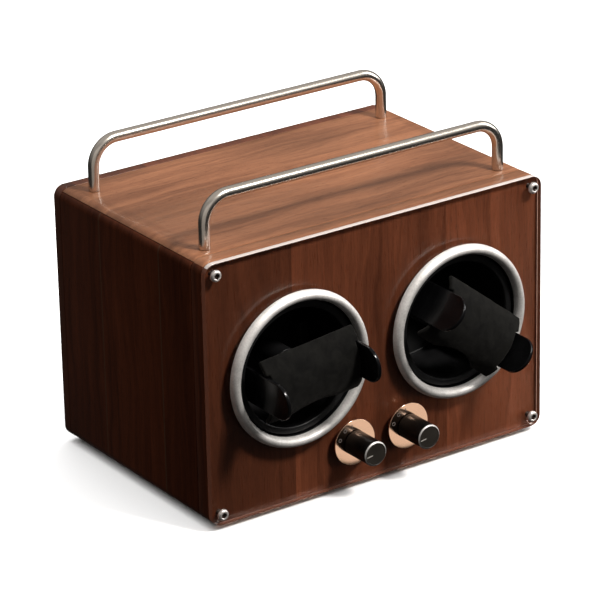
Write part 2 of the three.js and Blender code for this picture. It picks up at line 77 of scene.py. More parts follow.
MM = 0.001
ORIGIN = Vector((0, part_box("acrylic_front_panel")[0].y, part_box("bottom_board")[0].z))
SIDES = ("left", "right")


def reach(node):
    """A CAD node's lowest and highest corners in the case's millimetres."""
    return [(corner - ORIGIN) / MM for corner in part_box(node)]


def middle(node):
    low, high = reach(node)
    return (low + high) / 2


def y_span(node):
    low, high = reach(node)
    return low.y, high.y


# --- Dimensions, in millimetres ---

CASE_LOW, CASE_HIGH = reach("acrylic_front_panel")
CASE_WIDTH = CASE_HIGH.x - CASE_LOW.x
CASE_HEIGHT = CASE_HIGH.z - CASE_LOW.z
CORNER_RADIUS = 6
BOARD = 9
MITRE_GAP = 0.3
SCREW_HOLE = 1.6
SCREW_HEAD_RADIUS = 3.1
SCREW_HEAD_HEIGHT = 1.9
SCREW_SHANK_RADIUS = 1.3
BACK_SCREW_DEPTH = 11
POD_HOLE = 39
SPINDLE_HOLE = 4.2
JACK_HOLE = 5.4
HANDLES = ("front_handle", "rear_handle")
HANDLE_SCREW_HOLE = 2.2
HANDLE_BEND = 14
ROD_RADIUS = 3
BEZEL_WIDTH = 5.4
HOLDER_TILTS = {"left": 6, "right": -38.5}
PLATE_INNER_S = 26.7
PLATE_THICKNESS = 2
PLATE_HALF_WIDTH = 10
PAD_AXIS_Y = 7
PAD_RADIUS = 25
PAD_THICKNESS = 3
PAD_HALF_LENGTH = 28.5
PAD_HALF_WIDTH = 18.5
PAD_NOTCH_S = 26.2
PAD_NOTCH_T = 11.4
PAD_CUT_HALF = 15
PAD_CUT_DEPTH = 4.5
PAD_PUFF = 0.45
PAD_CREASE = 0.3
PAD_STEP = 0.95
STEM_RADIUS = 4.5
SPRING_TURNS = 5
SPRING_RADIUS = 5.9
SPRING_WIRE = 0.6
SPRING_FRONT = -13.9
SPRING_BACK = 8.9
KNOB_CHAMFER = 0.7
KNOB_RIM = 0.55
POINTER_ANGLE = 189
AROUND = 96


# --- Shapes ---


def arc(centre, radius, start, end, steps=12):
    """Points on an arc, its angles in degrees."""
    angles = [math.radians(start + (end - start) * k / steps) for k in range(steps + 1)]
    return [(centre[0] + radius * math.cos(a), centre[1] + radius * math.sin(a)) for a in angles]


def circle(centre, radius, steps=AROUND):
    return arc(centre, radius, 0, 360 - 360 / steps, steps - 1)


def rounded_rectangle(low, high, radius):
    right, left = high[0] - radius, low[0] + radius
    top, bottom = high[1] - radius, low[1] + radius
    return (
        arc((right, bottom), radius, -90, 0)
        + arc((right, top), radius, 0, 90)
        + arc((left, top), radius, 90, 180)
        + arc((left, bottom), radius, 180, 270)
    )


def closed_mesh(mesh, flat=lambda face: len(face.verts) > 4):
    """The mesh with doubled points merged, its faces pointing out, and smooth but for the flat ones."""
    bm = bmesh.new()
    bm.from_mesh(mesh)
    bmesh.ops.remove_doubles(bm, verts=bm.verts, dist=0.002)
    bmesh.ops.recalc_face_normals(bm, faces=bm.faces)
    for face in bm.faces:
        face.smooth = not flat(face)
    bm.to_mesh(mesh)
    bm.free()
    return mesh


def curve_mesh(curve, flat):
    holder = bpy.data.objects.new("shape", curve)
    scene.collection.objects.link(holder)
    mesh = bpy.data.meshes.new_from_object(holder)
    bpy.data.objects.remove(holder)
    return closed_mesh(mesh, flat)


def poly_spline(curve, points, cyclic):
    spline = curve.splines.new("POLY")
    spline.points.add(len(points) - 1)
    for point, place in zip(spline.points, points):
        point.co = (*place, *[0] * (3 - len(place)), 1)
    spline.use_cyclic_u = cyclic


def plate(outline, holes, span, edge=0.4, steps=3):
    """A plate between two Y values with rounded edges. Outlines are anticlockwise points in X and Z."""
    curve = bpy.data.curves.new("plate", "CURVE")
    curve.dimensions = "2D"
    curve.fill_mode = "BOTH"
    poly_spline(curve, outline, True)
    for hole in holes:
        poly_spline(curve, hole[::-1], True)
    curve.extrude = (span[1] - span[0]) / 2 - edge
    curve.bevel_depth = edge
    curve.bevel_resolution = steps
    curve.offset = -edge
    mesh = curve_mesh(curve, lambda face: abs(face.normal.z) > 0.9999)
    upright = Matrix.Rotation(math.radians(90), 4, "X")
    mesh.transform(Matrix.Translation((0, (span[0] + span[1]) / 2, 0)) @ upright)
    return mesh


def sweep(points, radius, cyclic=False, steps=6):
    """A round bar along a line of points."""
    curve = bpy.data.curves.new("bar", "CURVE")
    curve.dimensions = "3D"
    poly_spline(curve, points, cyclic)
    curve.bevel_depth = radius
    curve.bevel_resolution = steps
    curve.use_fill_caps = True
    return curve_mesh(curve, lambda face: len(face.verts) > 4)


def ring(radius, y, corners=0, turn=0.0):
    """Points round the Y axis. With corners, they lie on a polygon whose flats are that far from the axis."""
    points = []
    for k in range(AROUND):
        angle = 2 * math.pi * k / AROUND
        far = radius
        if corners:
            sector = 2 * math.pi / corners
            far = radius / math.cos((angle + sector / 2) % sector - sector / 2)
        points.append((far * math.cos(angle + turn), y, far * math.sin(angle + turn)))
    return points


def skin(rings, join_ends=False):
    """Faces between rings of points. The end rings are joined to each other, or closed by flat caps."""
    mesh = bpy.data.meshes.new("skin")
    count = len(rings[0])
    faces = []
    for i in range(len(rings) if join_ends else len(rings) - 1):
        near, far = i * count, (i + 1) % len(rings) * count
        for k in range(count):
            after = (k + 1) % count
            faces.append((near + k, near + after, far + after, far + k))
    if not join_ends:
        faces.append(tuple(range(count)))
        faces.append(tuple(range((len(rings) - 1) * count, len(rings) * count)))
    mesh.from_pydata([p for r in rings for p in r], [], faces)
    return closed_mesh(mesh)


def softened(profile, radius, closed=False, steps=4):
    """A profile whose corners are rounded off, each by at most the given radius."""
    points = [Vector(p) for p in profile]
    result = []
    for i, corner in enumerate(points):
        if not closed and i in (0, len(points) - 1):
            result.append(corner)
            continue
        before, after = points[i - 1] - corner, points[(i + 1) % len(points)] - corner
        reach_back = min(radius, 0.45 * before.length, 0.45 * after.length)
        start = corner + before.normalized() * reach_back
        end = corner + after.normalized() * reach_back
        for k in range(steps + 1):
            t = k / steps
            result.append(start * (1 - t) ** 2 + corner * 2 * t * (1 - t) + end * t**2)
    return result


def turned(profile, edge=0.3, closed=False):
    """A solid of revolution about Y from (radius, y) points, with its corners softened."""
    rings = [ring(r, y) for r, y in softened(profile, edge, closed)]
    return skin(rings, join_ends=closed)


def rounded_box(low, high, edge=0.6, steps=2):
    mesh = bpy.data.meshes.new("box")
    bm = bmesh.new()
    bmesh.ops.create_cube(bm, size=1)
    size = Vector(high) - Vector(low)
    centre = (Vector(high) + Vector(low)) / 2
    place = Matrix.Translation(centre) @ Matrix.Diagonal((*size, 1))
    bmesh.ops.transform(bm, matrix=place, verts=bm.verts)
    bmesh.ops.bevel(bm, geom=bm.edges[:], offset=edge, segments=steps, profile=0.5, affect="EDGES")
    bm.to_mesh(mesh)
    bm.free()
    return closed_mesh(mesh, lambda face: max(abs(part) for part in face.normal) > 0.9999)


def modified(mesh, changes):
    """The mesh after modifiers, given as (kind, settings)."""
    holder = bpy.data.objects.new("shape", mesh)
    scene.collection.objects.link(holder)
    for kind, settings in changes:
        change = holder.modifiers.new(kind, kind)
        for key, value in settings.items():
            setattr(change, key, value)
    depsgraph = bpy.context.evaluated_depsgraph_get()
    result = bpy.data.meshes.new_from_object(holder.evaluated_get(depsgraph))
    bpy.data.objects.remove(holder)
    return result


def boolean(mesh, others, operation):
    """A mesh cut by or joined with others, one after the other."""
    tools = [bpy.data.objects.new("tool", other) for other in others]
    for tool in tools:
        scene.collection.objects.link(tool)
    steps = [{"operation": operation, "solver": "EXACT", "object": tool} for tool in tools]
    result = modified(mesh, [("BOOLEAN", settings) for settings in steps])
    for tool in tools:
        bpy.data.objects.remove(tool)
    return result


def bar_y(radius, span, place=(0, 0)):
    """A round bar along Y between two Y values, at a place in X and Z."""
    mesh = skin([ring(radius, y) for y in span])
    mesh.transform(Matrix.Translation((place[0], 0, place[1])))
    return mesh


def along_z(mesh):
    """Turns a shape made about Y so that its +Y points up."""
    mesh.transform(Matrix.Rotation(math.radians(90), 4, "X"))
    return mesh


def show(name, mesh, body, finishes, place=None, crease=32):
    """A new piece of the object: placed, in metres, shaded smooth up to a crease angle."""
    if place is not None:
        mesh.transform(place)
    mesh.transform(Matrix.Translation(ORIGIN) @ Matrix.Scale(MM, 4))
    smooth = [polygon.use_smooth for polygon in mesh.polygons]
    mesh.set_sharp_from_angle(angle=math.radians(crease))
    mesh.polygons.foreach_set("use_smooth", smooth)
    mesh.name = name
    for finish in finishes:
        mesh.materials.append(finish)
    made = bpy.data.objects.new(name, mesh)
    scene.collection.objects.link(made)
    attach(made, body)
    return made


def stand_in(node, mesh, finishes, place=None, crease=32):
    """A detailed piece that stands for a CAD node and moves with its body."""
    body = frame["nodes"][node]["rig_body"]
    made = show(f"{node}_detail", mesh, body, finishes, place, crease)
    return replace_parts(made, node)


def paint_faces(mesh, index, chosen):
    """Gives a material slot to the faces whose centre and normal pass a test, in the mesh's own axes."""
    for polygon in mesh.polygons:
        if chosen(polygon.center, polygon.normal):
            polygon.material_index = index


# --- Materials ---


def node(tree, kind, inputs=None, **settings):
    """A shader node with its settings made and its inputs set or linked."""
    made = tree.nodes.new(f"ShaderNode{kind}")
    for key, value in settings.items():
        setattr(made, key, value)
    for key, value in (inputs or {}).items():
        if isinstance(value, bpy.types.NodeSocket):
            tree.links.new(value, made.inputs[key])
        else:
            made.inputs[key].default_value = value
    return made


def math_node(tree, operation, *values, clamp=False):
    return node(tree, "Math", dict(enumerate(values)), operation=operation, use_clamp=clamp).outputs[0]


def mix_colour(tree, factor, first, second, blend="MIX"):
    made = node(tree, "Mix", {0: factor, 6: first, 7: second}, data_type="RGBA", blend_type=blend)
    return made.outputs[2]


def times(tree, value, factor):
    return math_node(tree, "MULTIPLY", value, factor)


def grey(tree, value):
    return vector(tree, value, value, value)


def remap(tree, value, low, high, to_low, to_high):
    return node(tree, "MapRange", {0: value, 1: low, 2: high, 3: to_low, 4: to_high}).outputs[0]


def millimetres(tree):
    """The place on the object in millimetres, as a vector and as its three parts."""
    place = node(tree, "TexCoord").outputs["Object"]
    scaled = node(tree, "VectorMath", {0: place, 3: 1 / MM}, operation="SCALE").outputs[0]
    parts = node(tree, "SeparateXYZ", {0: scaled}).outputs
    return scaled, list(parts)


def vector(tree, x, y, z):
    return node(tree, "CombineXYZ", {0: x, 1: y, 2: z}).outputs[0]


def noise_at(tree, place, scale, detail=2.0, roughness=0.5, distortion=0.0):
    inputs = {"Vector": place, "Scale": scale, "Detail": detail, "Roughness": roughness}
    return node(tree, "TexNoise", {**inputs, "Distortion": distortion}).outputs[0]


def bump(tree, height, distance, strength=1.0):
    inputs = {"Height": height, "Distance": distance * MM, "Strength": strength}
    return node(tree, "Bump", inputs).outputs[0]


def material(name):
    made = bpy.data.materials.new(name)
    made.use_nodes = True
    shader = made.node_tree.nodes["Principled BSDF"]
    return made, made.node_tree, shader


def link(tree, shader, **sockets):
    """Sets or links shader sockets. Underscores stand for spaces in their names."""
    for name, value in sockets.items():
        target = shader.inputs[name.replace("_", " ")]
        if isinstance(value, bpy.types.NodeSocket):
            tree.links.new(value, target)
        else:
            target.default_value = value


def colour(r, g, b):
    return (r, g, b, 1.0)


def scaled_colour(base, factor):
    return colour(*[part * factor for part in base[:3]])


def stave_tones(tree, side, staves):
    """The tone of the stave at a place across the board, as steps of a colour ramp."""
    first, last = staves[0][0], staves[-1][0] + 100
    ramp = node(tree, "ValToRGB", {0: remap(tree, side, first, last, 0.0, 1.0)})
    ramp.color_ramp.interpolation = "CONSTANT"
    elements = ramp.color_ramp.elements
    while len(elements) < len(staves):
        elements.new(0.5)
    for element, (start, tone) in zip(elements, staves):
        element.position = (start - first) / (last - first)
        element.color = colour(tone / 2, tone / 2, tone / 2)
    return times(tree, ramp.outputs[0], 2.0)


def glue_lines(tree, side, staves):
    """1 on the thin lines where two staves meet, and 0 elsewhere."""
    lines = None
    for start, _ in staves[1:]:
        gap = math_node(tree, "ABSOLUTE", math_node(tree, "SUBTRACT", side, float(start)))
        near = math_node(tree, "LESS_THAN", gap, GLUE_HALF_WIDTH)
        lines = near if lines is None else math_node(tree, "ADD", lines, near, clamp=True)
    return lines


def wood(name, light, dark, grain, across, staves, glue=0.0, seed=0.0, gloss=0.3, coat=0.25,
         contrast=0.16, specular=0.4, patchiness=0.23):
    """Figured walnut. grain and across are axes 0 to 2. staves is a list of (start in mm, tone)."""
    made, tree, shader = material(name)
    _, parts = millimetres(tree)
    side, along, depth = parts[across], parts[grain], parts[3 - grain - across]
    tone = stave_tones(tree, side, staves)
    shift = times(tree, tone, 173.0 + seed)

    # The figure: wandering growth bands, streaks, fibres and pores, all stretched along the grain.
    slow = vector(tree, times(tree, side, 0.05), times(tree, along, 0.012), shift)
    wander = noise_at(tree, slow, 1.0, 3.0, 0.5)
    band_side = times(tree, math_node(tree, "MULTIPLY_ADD", wander, 26.0, side), 0.22)
    bands = noise_at(tree, vector(tree, band_side, times(tree, along, 0.006), shift), 1.0, 4.0, 0.6)
    streak_side = math_node(tree, "MULTIPLY_ADD", wander, 6.0, side)
    streak_depth = math_node(tree, "MULTIPLY_ADD", depth, 0.5, shift)
    streak_place = vector(tree, streak_side, times(tree, along, 0.02), streak_depth)
    streaks = noise_at(tree, streak_place, 1.1, 5.0, 0.65)
    fibre_place = vector(tree, times(tree, side, 3.2), times(tree, along, 0.11), times(tree, depth, 2.0))
    fibres = noise_at(tree, fibre_place, 1.0, 3.0, 0.6)
    pore_depth = math_node(tree, "ADD", depth, shift)
    pore_place = vector(tree, times(tree, side, 2.4), times(tree, along, 0.2), pore_depth)
    pores = remap(tree, noise_at(tree, pore_place, 1.0, 1.0, 0.4), 0.62, 0.72, 0.0, 1.0)

    # Broad light and dark areas, wider than the bands, give the boards their uneven depth of colour.
    patch_place = vector(tree, times(tree, side, 0.018), times(tree, along, 0.007), shift)
    patch_noise = noise_at(tree, patch_place, 1.0, 2.0, 0.5)
    patches = remap(tree, patch_noise, 0.3, 0.7, 1 - patchiness, 1 + patchiness)

    figure = math_node(tree, "MULTIPLY_ADD", bands, 0.65, times(tree, streaks, 0.35))
    factor = remap(tree, figure, 0.5 - contrast, 0.5 + contrast, 0.0, 1.0)
    toned = mix_colour(tree, 1.0, mix_colour(tree, factor, dark, light), grey(tree, tone), "MULTIPLY")
    fibre_tone = times(tree, remap(tree, fibres, 0.3, 0.7, 0.86, 1.12), patches)
    fibred = mix_colour(tree, 1.0, toned, grey(tree, fibre_tone), "MULTIPLY")
    final = mix_colour(tree, times(tree, pores, 0.38), fibred, scaled_colour(dark, 0.4))
    if glue:
        final = mix_colour(tree, times(tree, glue_lines(tree, side, staves), glue), final, GLUE)

    rough = math_node(tree, "MULTIPLY_ADD", fibres, 0.16, gloss - 0.08)
    relief = math_node(tree, "SUBTRACT", times(tree, fibres, 0.5), pores)
    link(tree, shader, Base_Color=final, Roughness=rough, Normal=bump(tree, relief, 0.02, 0.35),
         Coat_Weight=coat, Coat_Roughness=0.16, Specular_IOR_Level=specular)
    return made


def moulded(name, base, roughness, grain=1.6, depth=0.015, coat=0.0, specular=0.5):
    """Plastic, rubber or lacquer with a fine moulded texture and slightly uneven gloss."""
    made, tree, shader = material(name)
    place, _ = millimetres(tree)
    fine = noise_at(tree, place, grain, 4.0, 0.6)
    slow = noise_at(tree, place, 0.09, 3.0, 0.5)
    lighter = colour(*[c * 1.5 + 0.002 for c in base])
    tinted = mix_colour(tree, remap(tree, slow, 0.35, 0.7, 0.0, 1.0), colour(*base), lighter)
    uneven = math_node(tree, "MULTIPLY_ADD", slow, 0.14, roughness - 0.07)
    link(tree, shader, Base_Color=tinted, Roughness=uneven, Normal=bump(tree, fine, depth, 0.5),
         Coat_Weight=coat, Coat_Roughness=0.05, Specular_IOR_Level=specular)
    return made


def metal(name, base, roughness, brush=(0.4, 0.4, 0.4), spread=0.08, depth=0.004, shine=1.0, fine=6.0,
          mottle=0.07):
    """Plated or bare metal. brush stretches its fine scratches along the axis with the small number."""
    made, tree, shader = material(name)
    _, parts = millimetres(tree)
    stretched = vector(tree, *[times(tree, part, share) for part, share in zip(parts, brush)])
    lines = noise_at(tree, stretched, fine, 3.0, 0.6)
    slow = noise_at(tree, stretched, 0.15, 2.0, 0.5)
    grain = times(tree, math_node(tree, "ADD", lines, slow), 0.5)
    tone = remap(tree, grain, 0.38, 0.62, 0.0, 1.0)
    tinted = mix_colour(tree, tone, scaled_colour(base, 1 - mottle), colour(*base))
    uneven = math_node(tree, "MULTIPLY_ADD", lines, spread, roughness - spread / 2)
    relief = bump(tree, lines, depth, 0.4)
    link(tree, shader, Base_Color=tinted, Metallic=shine, Roughness=uneven, Normal=relief)
    return made


def clear_acrylic():
    """Clear sheet: what is behind it shows straight through, and its faces mirror softly and weakly."""
    made, tree, shader = material("clear_acrylic")
    place, _ = millimetres(tree)
    haze = noise_at(tree, place, 0.05, 3.0, 0.5)
    tree.nodes.remove(shader)
    clear = node(tree, "BsdfTransparent", {"Color": colour(0.97, 0.965, 0.955)}).outputs[0]
    rough = math_node(tree, "MULTIPLY_ADD", haze, 0.06, 0.13)
    gloss = node(tree, "BsdfGlossy", {"Color": colour(1, 1, 1), "Roughness": rough}).outputs[0]
    # Schlick's form with a lower share than real acrylic's 4 %. It is the same from both sides of a face,
    # because nothing here bends the light.
    facing = node(tree, "LayerWeight", {"Blend": 0.5}).outputs["Facing"]
    share = math_node(tree, "MULTIPLY_ADD", math_node(tree, "POWER", facing, 5.0), 0.96, 0.012)
    mixed = node(tree, "MixShader", {0: share, 1: clear, 2: gloss}).outputs[0]
    tree.links.new(mixed, tree.nodes["Material Output"].inputs["Surface"])
    return made


def polished_edge(name, dark, light, transmission, glow=0.0):
    """The acrylic's cut edge, tinted with painted light, slightly rippled and, where asked, glowing a little
    as painted light.
    """
    made, tree, shader = material(name)
    place, _ = millimetres(tree)
    ripple = noise_at(tree, place, 0.35, 3.0, 0.5)
    tinted = mix_colour(tree, ripple, dark, light)
    rough = math_node(tree, "MULTIPLY_ADD", ripple, 0.1, 0.1)
    link(tree, shader, Base_Color=tinted, Roughness=rough, Transmission_Weight=transmission, IOR=1.49,
         Normal=bump(tree, ripple, 0.05, 0.3), Emission_Color=tinted, Emission_Strength=glow)
    return made


def flock(name, base):
    """Short black flock over foam: a soft fuzz, brushed patches and a faint sheen."""
    made, tree, shader = material(name)
    place, _ = millimetres(tree)
    fuzz = noise_at(tree, place, 3.2, 4.0, 0.7)
    brushed = noise_at(tree, place, 0.16, 4.0, 0.6, 0.8)
    lighter = scaled_colour(base, 3.2)
    patchy = mix_colour(tree, remap(tree, brushed, 0.35, 0.68, 0.0, 1.0), colour(*base), lighter)
    speckled = mix_colour(tree, remap(tree, fuzz, 0.5, 0.8, 0.0, 0.5), patchy, lighter)
    link(tree, shader, Base_Color=speckled, Roughness=0.95, Normal=bump(tree, fuzz, 0.12, 0.7),
         Sheen_Weight=0.06, Sheen_Roughness=0.45, Sheen_Tint=colour(0.75, 0.7, 0.66),
         Specular_IOR_Level=0.15)
    return made


def circuit():
    """Green solder mask with faint copper tracks."""
    made, tree, shader = material("circuit_board")
    place, _ = millimetres(tree)
    tracks = node(tree, "TexBrick", {"Vector": place, "Scale": 0.35, "Mortar Size": 0.06}).outputs["Fac"]
    fine = noise_at(tree, place, 1.2, 2.0, 0.5)
    mask = mix_colour(tree, tracks, colour(0.012, 0.10, 0.04), colour(0.035, 0.20, 0.08))
    tinted = mix_colour(tree, remap(tree, fine, 0.55, 0.75, 0.0, 0.6), mask, colour(0.01, 0.05, 0.025))
    link(tree, shader, Base_Color=tinted, Roughness=0.3, Normal=bump(tree, tracks, 0.04, 0.4))
    return made


TOP_LIGHT = colour(0.415, 0.178, 0.087)
TOP_DARK = colour(0.125, 0.042, 0.018)
GLUE = colour(0.13, 0.075, 0.045)
GLUE_HALF_WIDTH = 0.45
FACE_LIGHT = colour(0.176, 0.052, 0.024)
FACE_DARK = colour(0.070, 0.020, 0.009)
# Deep walnut for the side and bottom boards. On the side boards its darkness is partly the wood's own dark
# tone and partly painted shade, kept darker than the front's walnut so that the sides look shaded.
DEEP_LIGHT = colour(0.135, 0.034, 0.013)
DEEP_DARK = colour(0.055, 0.012, 0.004)
TOP_STAVES = [(-60, 1.0), (-6, 0.93), (38, 1.04)]
SIDE_STAVES = [(-60, 0.9), (-14, 1.1), (42, 0.95)]
FACE_STAVES = [(-110, 0.85), (-52, 1.4), (-39, 0.95), (45, 1.15)]

finishes = {
    "walnut": wood("walnut_top", TOP_LIGHT, TOP_DARK, 0, 1, TOP_STAVES, seed=3.0, contrast=0.24,
                   patchiness=0.34),
    "face": wood("walnut_face", FACE_LIGHT, FACE_DARK, 2, 0, FACE_STAVES, seed=11.0, contrast=0.22),
    # The side boards' darker walnut is partly painted shade.
    "side": wood("walnut_side", DEEP_LIGHT, DEEP_DARK, 2, 1, SIDE_STAVES, 0.6, 29.0, coat=0.02,
                 specular=0.15),
    "base": wood("walnut_base", DEEP_LIGHT, DEEP_DARK, 0, 1, [(-60, 1.0), (0, 0.9)], seed=41.0),
    "acrylic": clear_acrylic(),
    # The edge's near-white tint is a painted highlight, the light that the polished top edge catches.
    "edge": polished_edge("acrylic_edge_painted_highlight", colour(0.80, 0.66, 0.60), colour(0.97, 0.90, 0.86), 0.25),
    # The rim's brown tint is a painted reflection of the board behind it, and its glow is painted light from
    # within.
    "rim": polished_edge("acrylic_rim_painted_reflection", colour(0.12, 0.042, 0.024), colour(0.19, 0.07, 0.04), 0.5,
                         glow=0.2),
    "nickel": metal("polished_nickel", (0.74, 0.68, 0.61), 0.24, (0.05, 1.0, 1.0)),
    "screw": metal("screw_nickel", (0.86, 0.80, 0.76), 0.28, shine=0.7),
    "silver": metal("satin_silver", (0.68, 0.655, 0.63), 0.52, (1.0, 0.5, 1.0), 0.2, 0.02,
                    shine=0.45, fine=1.5, mottle=0.3),
    # Near-black brown for the front screws' sockets and shanks: painted shade.
    "painted_screw_shade": metal("dark_screw_shade", (0.035, 0.020, 0.014), 0.5, shine=0.4),
    "steel": metal("zinc_steel", (0.45, 0.45, 0.46), 0.38, (0.3, 1.0, 0.3), 0.16),
    "copper": metal("rose_gold", (0.93, 0.62, 0.45), 0.13, (0.08, 1.0, 1.0), 0.05),
    "plastic": moulded("black_plastic", (0.004, 0.004, 0.0043), 0.42, specular=0.4),
    "lining": moulded("drum_lining", (0.003, 0.003, 0.0035), 0.5, 2.4, 0.03, specular=0.3),
    "gloss": moulded("gloss_black", (0.002, 0.002, 0.0023), 0.2, 0.5, 0.004, 0.1, 0.18),
    "knob_face": moulded("knob_face", (0.016, 0.013, 0.010), 0.45, 2.0, 0.02),
    "knob": moulded("knob_black", (0.0015, 0.0012, 0.001), 0.3, 0.5, 0.004, specular=0.2),
    "mark": moulded("dial_mark", (0.13, 0.11, 0.10), 0.5),
    "pointer": moulded("pointer_white", (0.34, 0.32, 0.29), 0.4),
    "rubber": moulded("rubber", (0.018, 0.018, 0.018), 0.8, 1.2, 0.04),
    "flock": flock("flock", (0.0022, 0.0021, 0.0018)),
    "circuit": circuit(),
}


# --- Case ---


def board_section(length):
    """A board's section, mitred at both ends, with half of each rounded corner. Its outer face is at 0."""
    trim = MITRE_GAP / math.sqrt(2)
    half = length / 2
    centre = half - CORNER_RADIUS - trim
    inner = half - BOARD - trim
    return (
        [(-inner, -BOARD), (inner, -BOARD)]
        + arc((centre, -CORNER_RADIUS), CORNER_RADIUS, 45, 90)
        + arc((-centre, -CORNER_RADIUS), CORNER_RADIUS, 90, 135)
    )


def handle_screw_holes():
    """Upright bars through the top board, one under each leg of the handles."""
    bars = []
    for sign in (-1, 1):
        for name in HANDLES:
            leg_x = reach(name)[1].x - ROD_RADIUS
            bar = along_z(bar_y(HANDLE_SCREW_HOLE, (CASE_HEIGHT - 2 * BOARD, CASE_HEIGHT + BOARD)))
            bar.transform(Matrix.Translation((sign * leg_x, middle(name).y, 0)))
            bars.append(bar)
    return bars


def back_screw_holes(towards, back):
    """Bars into the back of one side board, the left (-1) or the right (1)."""
    centres = [middle(f"back_screw_{i}") for i in range(1, 5)]
    span = (back - BACK_SCREW_DEPTH, back + 5)
    return [bar_y(SCREW_HOLE, span, (c.x, c.z)) for c in centres if c.x * towards > 0]


def build_boards():
    front, back = y_span("top_board")
    table = [
        ("top_board", CASE_WIDTH, 0, CASE_HEIGHT / 2, "walnut", "walnut"),
        ("bottom_board", CASE_WIDTH, 180, CASE_HEIGHT / 2, "base", "dark_walnut"),
        ("left_side_board", CASE_HEIGHT, -90, CASE_WIDTH / 2, "side", "dark_walnut"),
        ("right_side_board", CASE_HEIGHT, 90, CASE_WIDTH / 2, "side", "dark_walnut"),
    ]
    for name, length, turn, distance, finish, slot in table:
        mesh = plate(board_section(length), [], (front, back), 0.2, 1)
        angle = math.radians(turn)
        shift = Vector((distance * math.sin(angle), 0, CASE_HEIGHT / 2 + distance * math.cos(angle)))
        mesh.transform(Matrix.Translation(shift) @ Matrix.Rotation(angle, 4, "Y"))
        if name == "top_board":
            mesh = boolean(mesh, handle_screw_holes(), "DIFFERENCE")
        elif "side" in name:
            mesh = boolean(mesh, back_screw_holes(turn, back), "DIFFERENCE")
        stand_in(name, mesh, [finishes[finish]])


def face_openings():
    """The outlines of the holes that the acrylic and the board behind it share."""
    pod_centres = [middle(f"{side}_bezel_ring") for side in SIDES]
    pods = [circle((p.x, p.z), POD_HOLE) for p in pod_centres]
    knob_centres = [middle(f"{side}_knob") for side in SIDES]
    knobs = [circle((p.x, p.z), SPINDLE_HOLE, 32) for p in knob_centres]
    centres = [middle(f"front_screw_{i}") for i in range(1, 5)]
    screws = [circle((p.x, p.z), SCREW_HOLE, 24) for p in centres]
    return pods + knobs + screws


def case_outline():
    return rounded_rectangle((CASE_LOW.x, CASE_LOW.z), (CASE_HIGH.x, CASE_HIGH.z), CORNER_RADIUS)


def on_rim(place):
    """Whether a place on a front panel is at its outer edge, clear of the screw holes."""
    inset = CORNER_RADIUS / 2
    beside = abs(place.x) > CASE_WIDTH / 2 - inset
    return beside or place.z < inset or place.z > CASE_HEIGHT - inset


def build_panels():
    front_face, back_face = y_span("acrylic_front_panel")
    # It reaches almost to the board, so that no light line shows between them.
    span = (front_face, back_face + MITRE_GAP - 0.05)
    acrylic = plate(case_outline(), face_openings(), span, 0.35)
    # The rim is painted in the board's brown, a painted reflection of the board behind it, and its top edge
    # is painted bright, a painted highlight.
    paint_faces(acrylic, 2, lambda c, n: on_rim(c) and abs(n.y) < 0.97)
    paint_faces(acrylic, 1, lambda c, n: c.z > CASE_HEIGHT - CORNER_RADIUS and n.z > 0.7)
    stand_in("acrylic_front_panel", acrylic,
             [finishes["acrylic"], finishes["edge"], finishes["rim"]])

    front = plate(case_outline(), face_openings(), y_span("front_board"), 0.25, 1)
    # The board's upward edge faces take the top's walnut and its side edge faces the side boards' darker
    # walnut, which is partly painted shade.
    paint_faces(front, 1, lambda c, n: n.z > 0.72 and c.z > CASE_HEIGHT - CORNER_RADIUS)
    paint_faces(front, 2, lambda c, n: abs(n.x) > 0.7 and abs(c.x) > CASE_WIDTH / 2 - CORNER_RADIUS)
    stand_in("front_board", front, [finishes["face"], finishes["walnut"], finishes["side"]])

    screws = [middle(f"back_screw_{i}") for i in range(1, 5)]
    jack = middle("dc_jack")
    holes = [circle((p.x, p.z), SCREW_HOLE, 24) for p in screws]
    holes.append(circle((jack.x, jack.z), JACK_HOLE, 48))
    back = plate(case_outline(), holes, y_span("back_panel"), 0.4)
    stand_in("back_panel", back, [finishes["face"]])


# --- Fasteners, handles and feet ---


def screw_mesh(shank_length):
    """A domed hex-socket screw along +Y, with the underside of its head at y = 0."""
    head, shank, top = SCREW_HEAD_RADIUS, SCREW_SHANK_RADIUS, -SCREW_HEAD_HEIGHT
    pitch, root = 0.5, 0.86 * shank
    socket, socket_floor = 0.46 * head, top + 1.15
    dome = [(1.0, 0.3), (0.95, 0.62), (0.82, 0.88), (0.66, 1.0)]
    rings = [ring(shank * 0.6, shank_length), ring(shank, shank_length - pitch)]
    for k in range(int((shank_length - 1.5) / pitch)):
        y = shank_length - 0.8 - pitch * k
        rings += [ring(root, y), ring(shank, y - pitch / 2)]
    rings += [ring(shank, 0.0), ring(head * 0.94, 0.0), ring(head, 0.1 * top)]
    rings += [ring(head * share, top * height) for share, height in dome]
    rings += [ring(socket + 0.18, top, 6), ring(socket, top + 0.15, 6), ring(socket, socket_floor, 6)]
    rings += [ring(socket * 0.5, socket_floor + 0.15)]
    return skin(rings)


def in_socket_or_shank(place):
    """Whether a place on a front screw is in its socket or on its shank."""
    in_shank = place.y > 0.05
    near_axis = math.hypot(place.x, place.z) < SCREW_HEAD_RADIUS / 2
    return in_shank or (near_axis and 0.1 - SCREW_HEAD_HEIGHT < place.y < 0)


